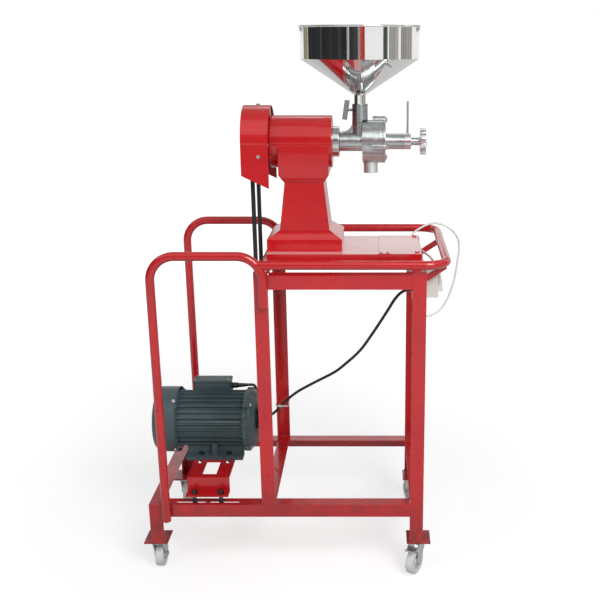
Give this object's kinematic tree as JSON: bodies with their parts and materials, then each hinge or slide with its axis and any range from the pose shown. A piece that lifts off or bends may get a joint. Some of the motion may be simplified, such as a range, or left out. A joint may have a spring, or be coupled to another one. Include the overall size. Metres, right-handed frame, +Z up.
{
  "type": "belt-driven coffee grinding machine",
  "caption": "Red trolley-mounted coffee mill driven by an electric motor and a V-belt, with a round stainless hopper and hand wheel grind setting",
  "frame": {"origin": "on the floor under the middle of the trolley's plan outline", "axes": "+X runs along the mill's axis from the belt guard to the hand wheel, -Y is the front, +Z is up"},
  "size_m": [0.9714, 0.5392, 1.606],
  "materials": {
    "red_paint": "gloss red enamel",
    "stainless": "polished stainless sheet",
    "ground_steel": "turned and ground steel",
    "cast_iron": "machined grey iron",
    "chrome": "bright chrome plate",
    "zinc": "zinc plate",
    "motor_paint": "satin slate grey paint",
    "rubber": "matt black rubber",
    "pale_rubber": "pale grey caster rubber",
    "black_plastic": "moulded black plastic",
    "grey_plastic": "moulded grey plastic",
    "green_plastic": "moulded green plastic",
    "red_plastic": "moulded red plastic",
    "white_plastic": "soft white plastic"
  },
  "bodies": {
    "frame": {"base_rails": "red_paint", "frame_posts": "red_paint", "table_rails": "red_paint", "push_handles": "red_paint", "table_loop": "red_paint", "loop_braces": "red_paint", "caster_pads": "red_paint", "caster_plates": "zinc", "table_box": "red_paint", "table_bolts": "zinc", "pedestal": "red_paint", "bearing_housing": "red_paint", "spindle_bearings": "ground_steel", "barrel_flange": "ground_steel", "mill_barrel": "ground_steel", "grinding_chamber": "ground_steel", "chamber_cover": "ground_steel", "mill_bolts": "zinc", "outlet_spout": "stainless", "v_belt": "rubber", "belt_guard": "red_paint", "guard_skirts": "red_paint", "guard_bracket": "red_paint", "motor_frame": "motor_paint", "motor_end_shield": "motor_paint", "motor_fan_cover": "motor_paint", "terminal_box": "motor_paint", "motor_bracket": "red_paint", "motor_bolts": "zinc", "switch_box": "grey_plastic", "cord_glands": "black_plastic", "power_cord": "white_plastic", "cord_coil": "white_plastic", "cord_plug": "white_plastic", "motor_lead": "black_plastic", "cable_ties": "white_plastic"},
    "spindle_set": {"spindle": "ground_steel", "feed_auger": "ground_steel", "rotating_burr": "cast_iron", "mill_pulley": "cast_iron"},
    "motor_rotor_set": {"motor_rotor": "ground_steel", "motor_pulley": "cast_iron"},
    "burr_carriage": {"fixed_burr": "cast_iron"},
    "screw_set": {"adjusting_screw": "ground_steel", "hand_wheel": "chrome"},
    "lock_nut_set": {"lock_nut": "ground_steel"},
    "clamp_set": {"clamp_screw": "ground_steel"},
    "hopper_set": {"hopper": "stainless"},
    "start_set": {"start_button": "green_plastic"},
    "stop_set": {"stop_button": "red_plastic"},
    "front_left_swivel": {"front_left_fork": "zinc"},
    "front_left_roller": {"front_left_wheel": "pale_rubber"},
    "rear_left_swivel": {"rear_left_fork": "zinc"},
    "rear_left_roller": {"rear_left_wheel": "pale_rubber"},
    "front_right_swivel": {"front_right_fork": "zinc"},
    "front_right_roller": {"front_right_wheel": "pale_rubber"},
    "front_right_pedal": {"front_right_brake": "black_plastic"},
    "rear_right_swivel": {"rear_right_fork": "zinc"},
    "rear_right_roller": {"rear_right_wheel": "pale_rubber"},
    "rear_right_pedal": {"rear_right_brake": "black_plastic"}
  },
  "joints": [
    {"name": "motor_spin", "type": "hinge", "parent": "frame", "child": "motor_rotor_set", "pos_m": [-0.257, 0, 0.41], "axis": [1, 0, 0], "continuous": true},
    {"name": "spindle_spin", "type": "hinge", "parent": "frame", "child": "spindle_set", "pos_m": [0.0295, 0, 1.283], "axis": [1, 0, 0], "continuous": true},
    {"name": "burr_slide", "type": "slide", "parent": "frame", "child": "burr_carriage", "axis": [1, 0, 0], "range_m": [-0.001, 0.004]},
    {"name": "hand_wheel_turn", "type": "hinge", "parent": "burr_carriage", "child": "screw_set", "pos_m": [0.373, 0, 1.283], "axis": [1, 0, 0], "range_deg": [-180, 720]},
    {"name": "lock_nut_turn", "type": "hinge", "parent": "frame", "child": "lock_nut_set", "pos_m": [0.3368, 0, 1.283], "axis": [1, 0, 0], "range_deg": [-60, 30]},
    {"name": "clamp_screw_turn", "type": "hinge", "parent": "frame", "child": "clamp_set", "pos_m": [0.173, 0, 1.373], "axis": [1, 0, 0], "range_deg": [0, 180]},
    {"name": "hopper_lift", "type": "slide", "parent": "frame", "child": "hopper_set", "axis": [0, 0, 1], "range_m": [0, 0.03]},
    {"name": "start_press", "type": "slide", "parent": "frame", "child": "start_set", "axis": [-1, 0, 0], "range_m": [0, 0.003], "stiffness_N_per_m": 200},
    {"name": "stop_press", "type": "slide", "parent": "frame", "child": "stop_set", "axis": [-1, 0, 0], "range_m": [0, 0.003], "stiffness_N_per_m": 200},
    {"name": "front_left_swivel_turn", "type": "hinge", "parent": "frame", "child": "front_left_swivel", "pos_m": [-0.419, -0.204, 0.0986], "axis": [0, 0, 1], "continuous": true},
    {"name": "front_left_wheel_spin", "type": "hinge", "parent": "front_left_swivel", "child": "front_left_roller", "pos_m": [-0.419, -0.18, 0.0375], "axis": [1, 0, 0], "continuous": true},
    {"name": "rear_left_swivel_turn", "type": "hinge", "parent": "frame", "child": "rear_left_swivel", "pos_m": [-0.419, 0.204, 0.0986], "axis": [0, 0, 1], "continuous": true},
    {"name": "rear_left_wheel_spin", "type": "hinge", "parent": "rear_left_swivel", "child": "rear_left_roller", "pos_m": [-0.419, 0.228, 0.0375], "axis": [1, 0, 0], "continuous": true},
    {"name": "front_right_swivel_turn", "type": "hinge", "parent": "frame", "child": "front_right_swivel", "pos_m": [0.374, -0.204, 0.0986], "axis": [0, 0, 1], "continuous": true},
    {"name": "front_right_wheel_spin", "type": "hinge", "parent": "front_right_swivel", "child": "front_right_roller", "pos_m": [0.362, -0.22479, 0.0375], "axis": [-0.866, 0.5, 0], "continuous": true},
    {"name": "front_right_brake_press", "type": "hinge", "parent": "front_right_swivel", "child": "front_right_pedal", "pos_m": [0.358, -0.23171, 0.084], "axis": [-0.866, 0.5, 0], "range_deg": [-18, 0]},
    {"name": "rear_right_swivel_turn", "type": "hinge", "parent": "frame", "child": "rear_right_swivel", "pos_m": [0.374, 0.204, 0.0986], "axis": [0, 0, 1], "continuous": true},
    {"name": "rear_right_wheel_spin", "type": "hinge", "parent": "rear_right_swivel", "child": "rear_right_roller", "pos_m": [0.36579, 0.22655, 0.0375], "axis": [0.9397, 0.342, 0], "continuous": true},
    {"name": "rear_right_brake_press", "type": "hinge", "parent": "rear_right_swivel", "child": "rear_right_pedal", "pos_m": [0.36306, 0.23407, 0.084], "axis": [0.9397, 0.342, 0], "range_deg": [-18, 0]}
  ],
  "couplings": [
    {"joint": "spindle_spin", "follows": "motor_spin", "ratio": 0.78788},
    {"joint": "burr_slide", "follows": "hand_wheel_turn", "m_per_rad": 0.00031831}
  ]
}
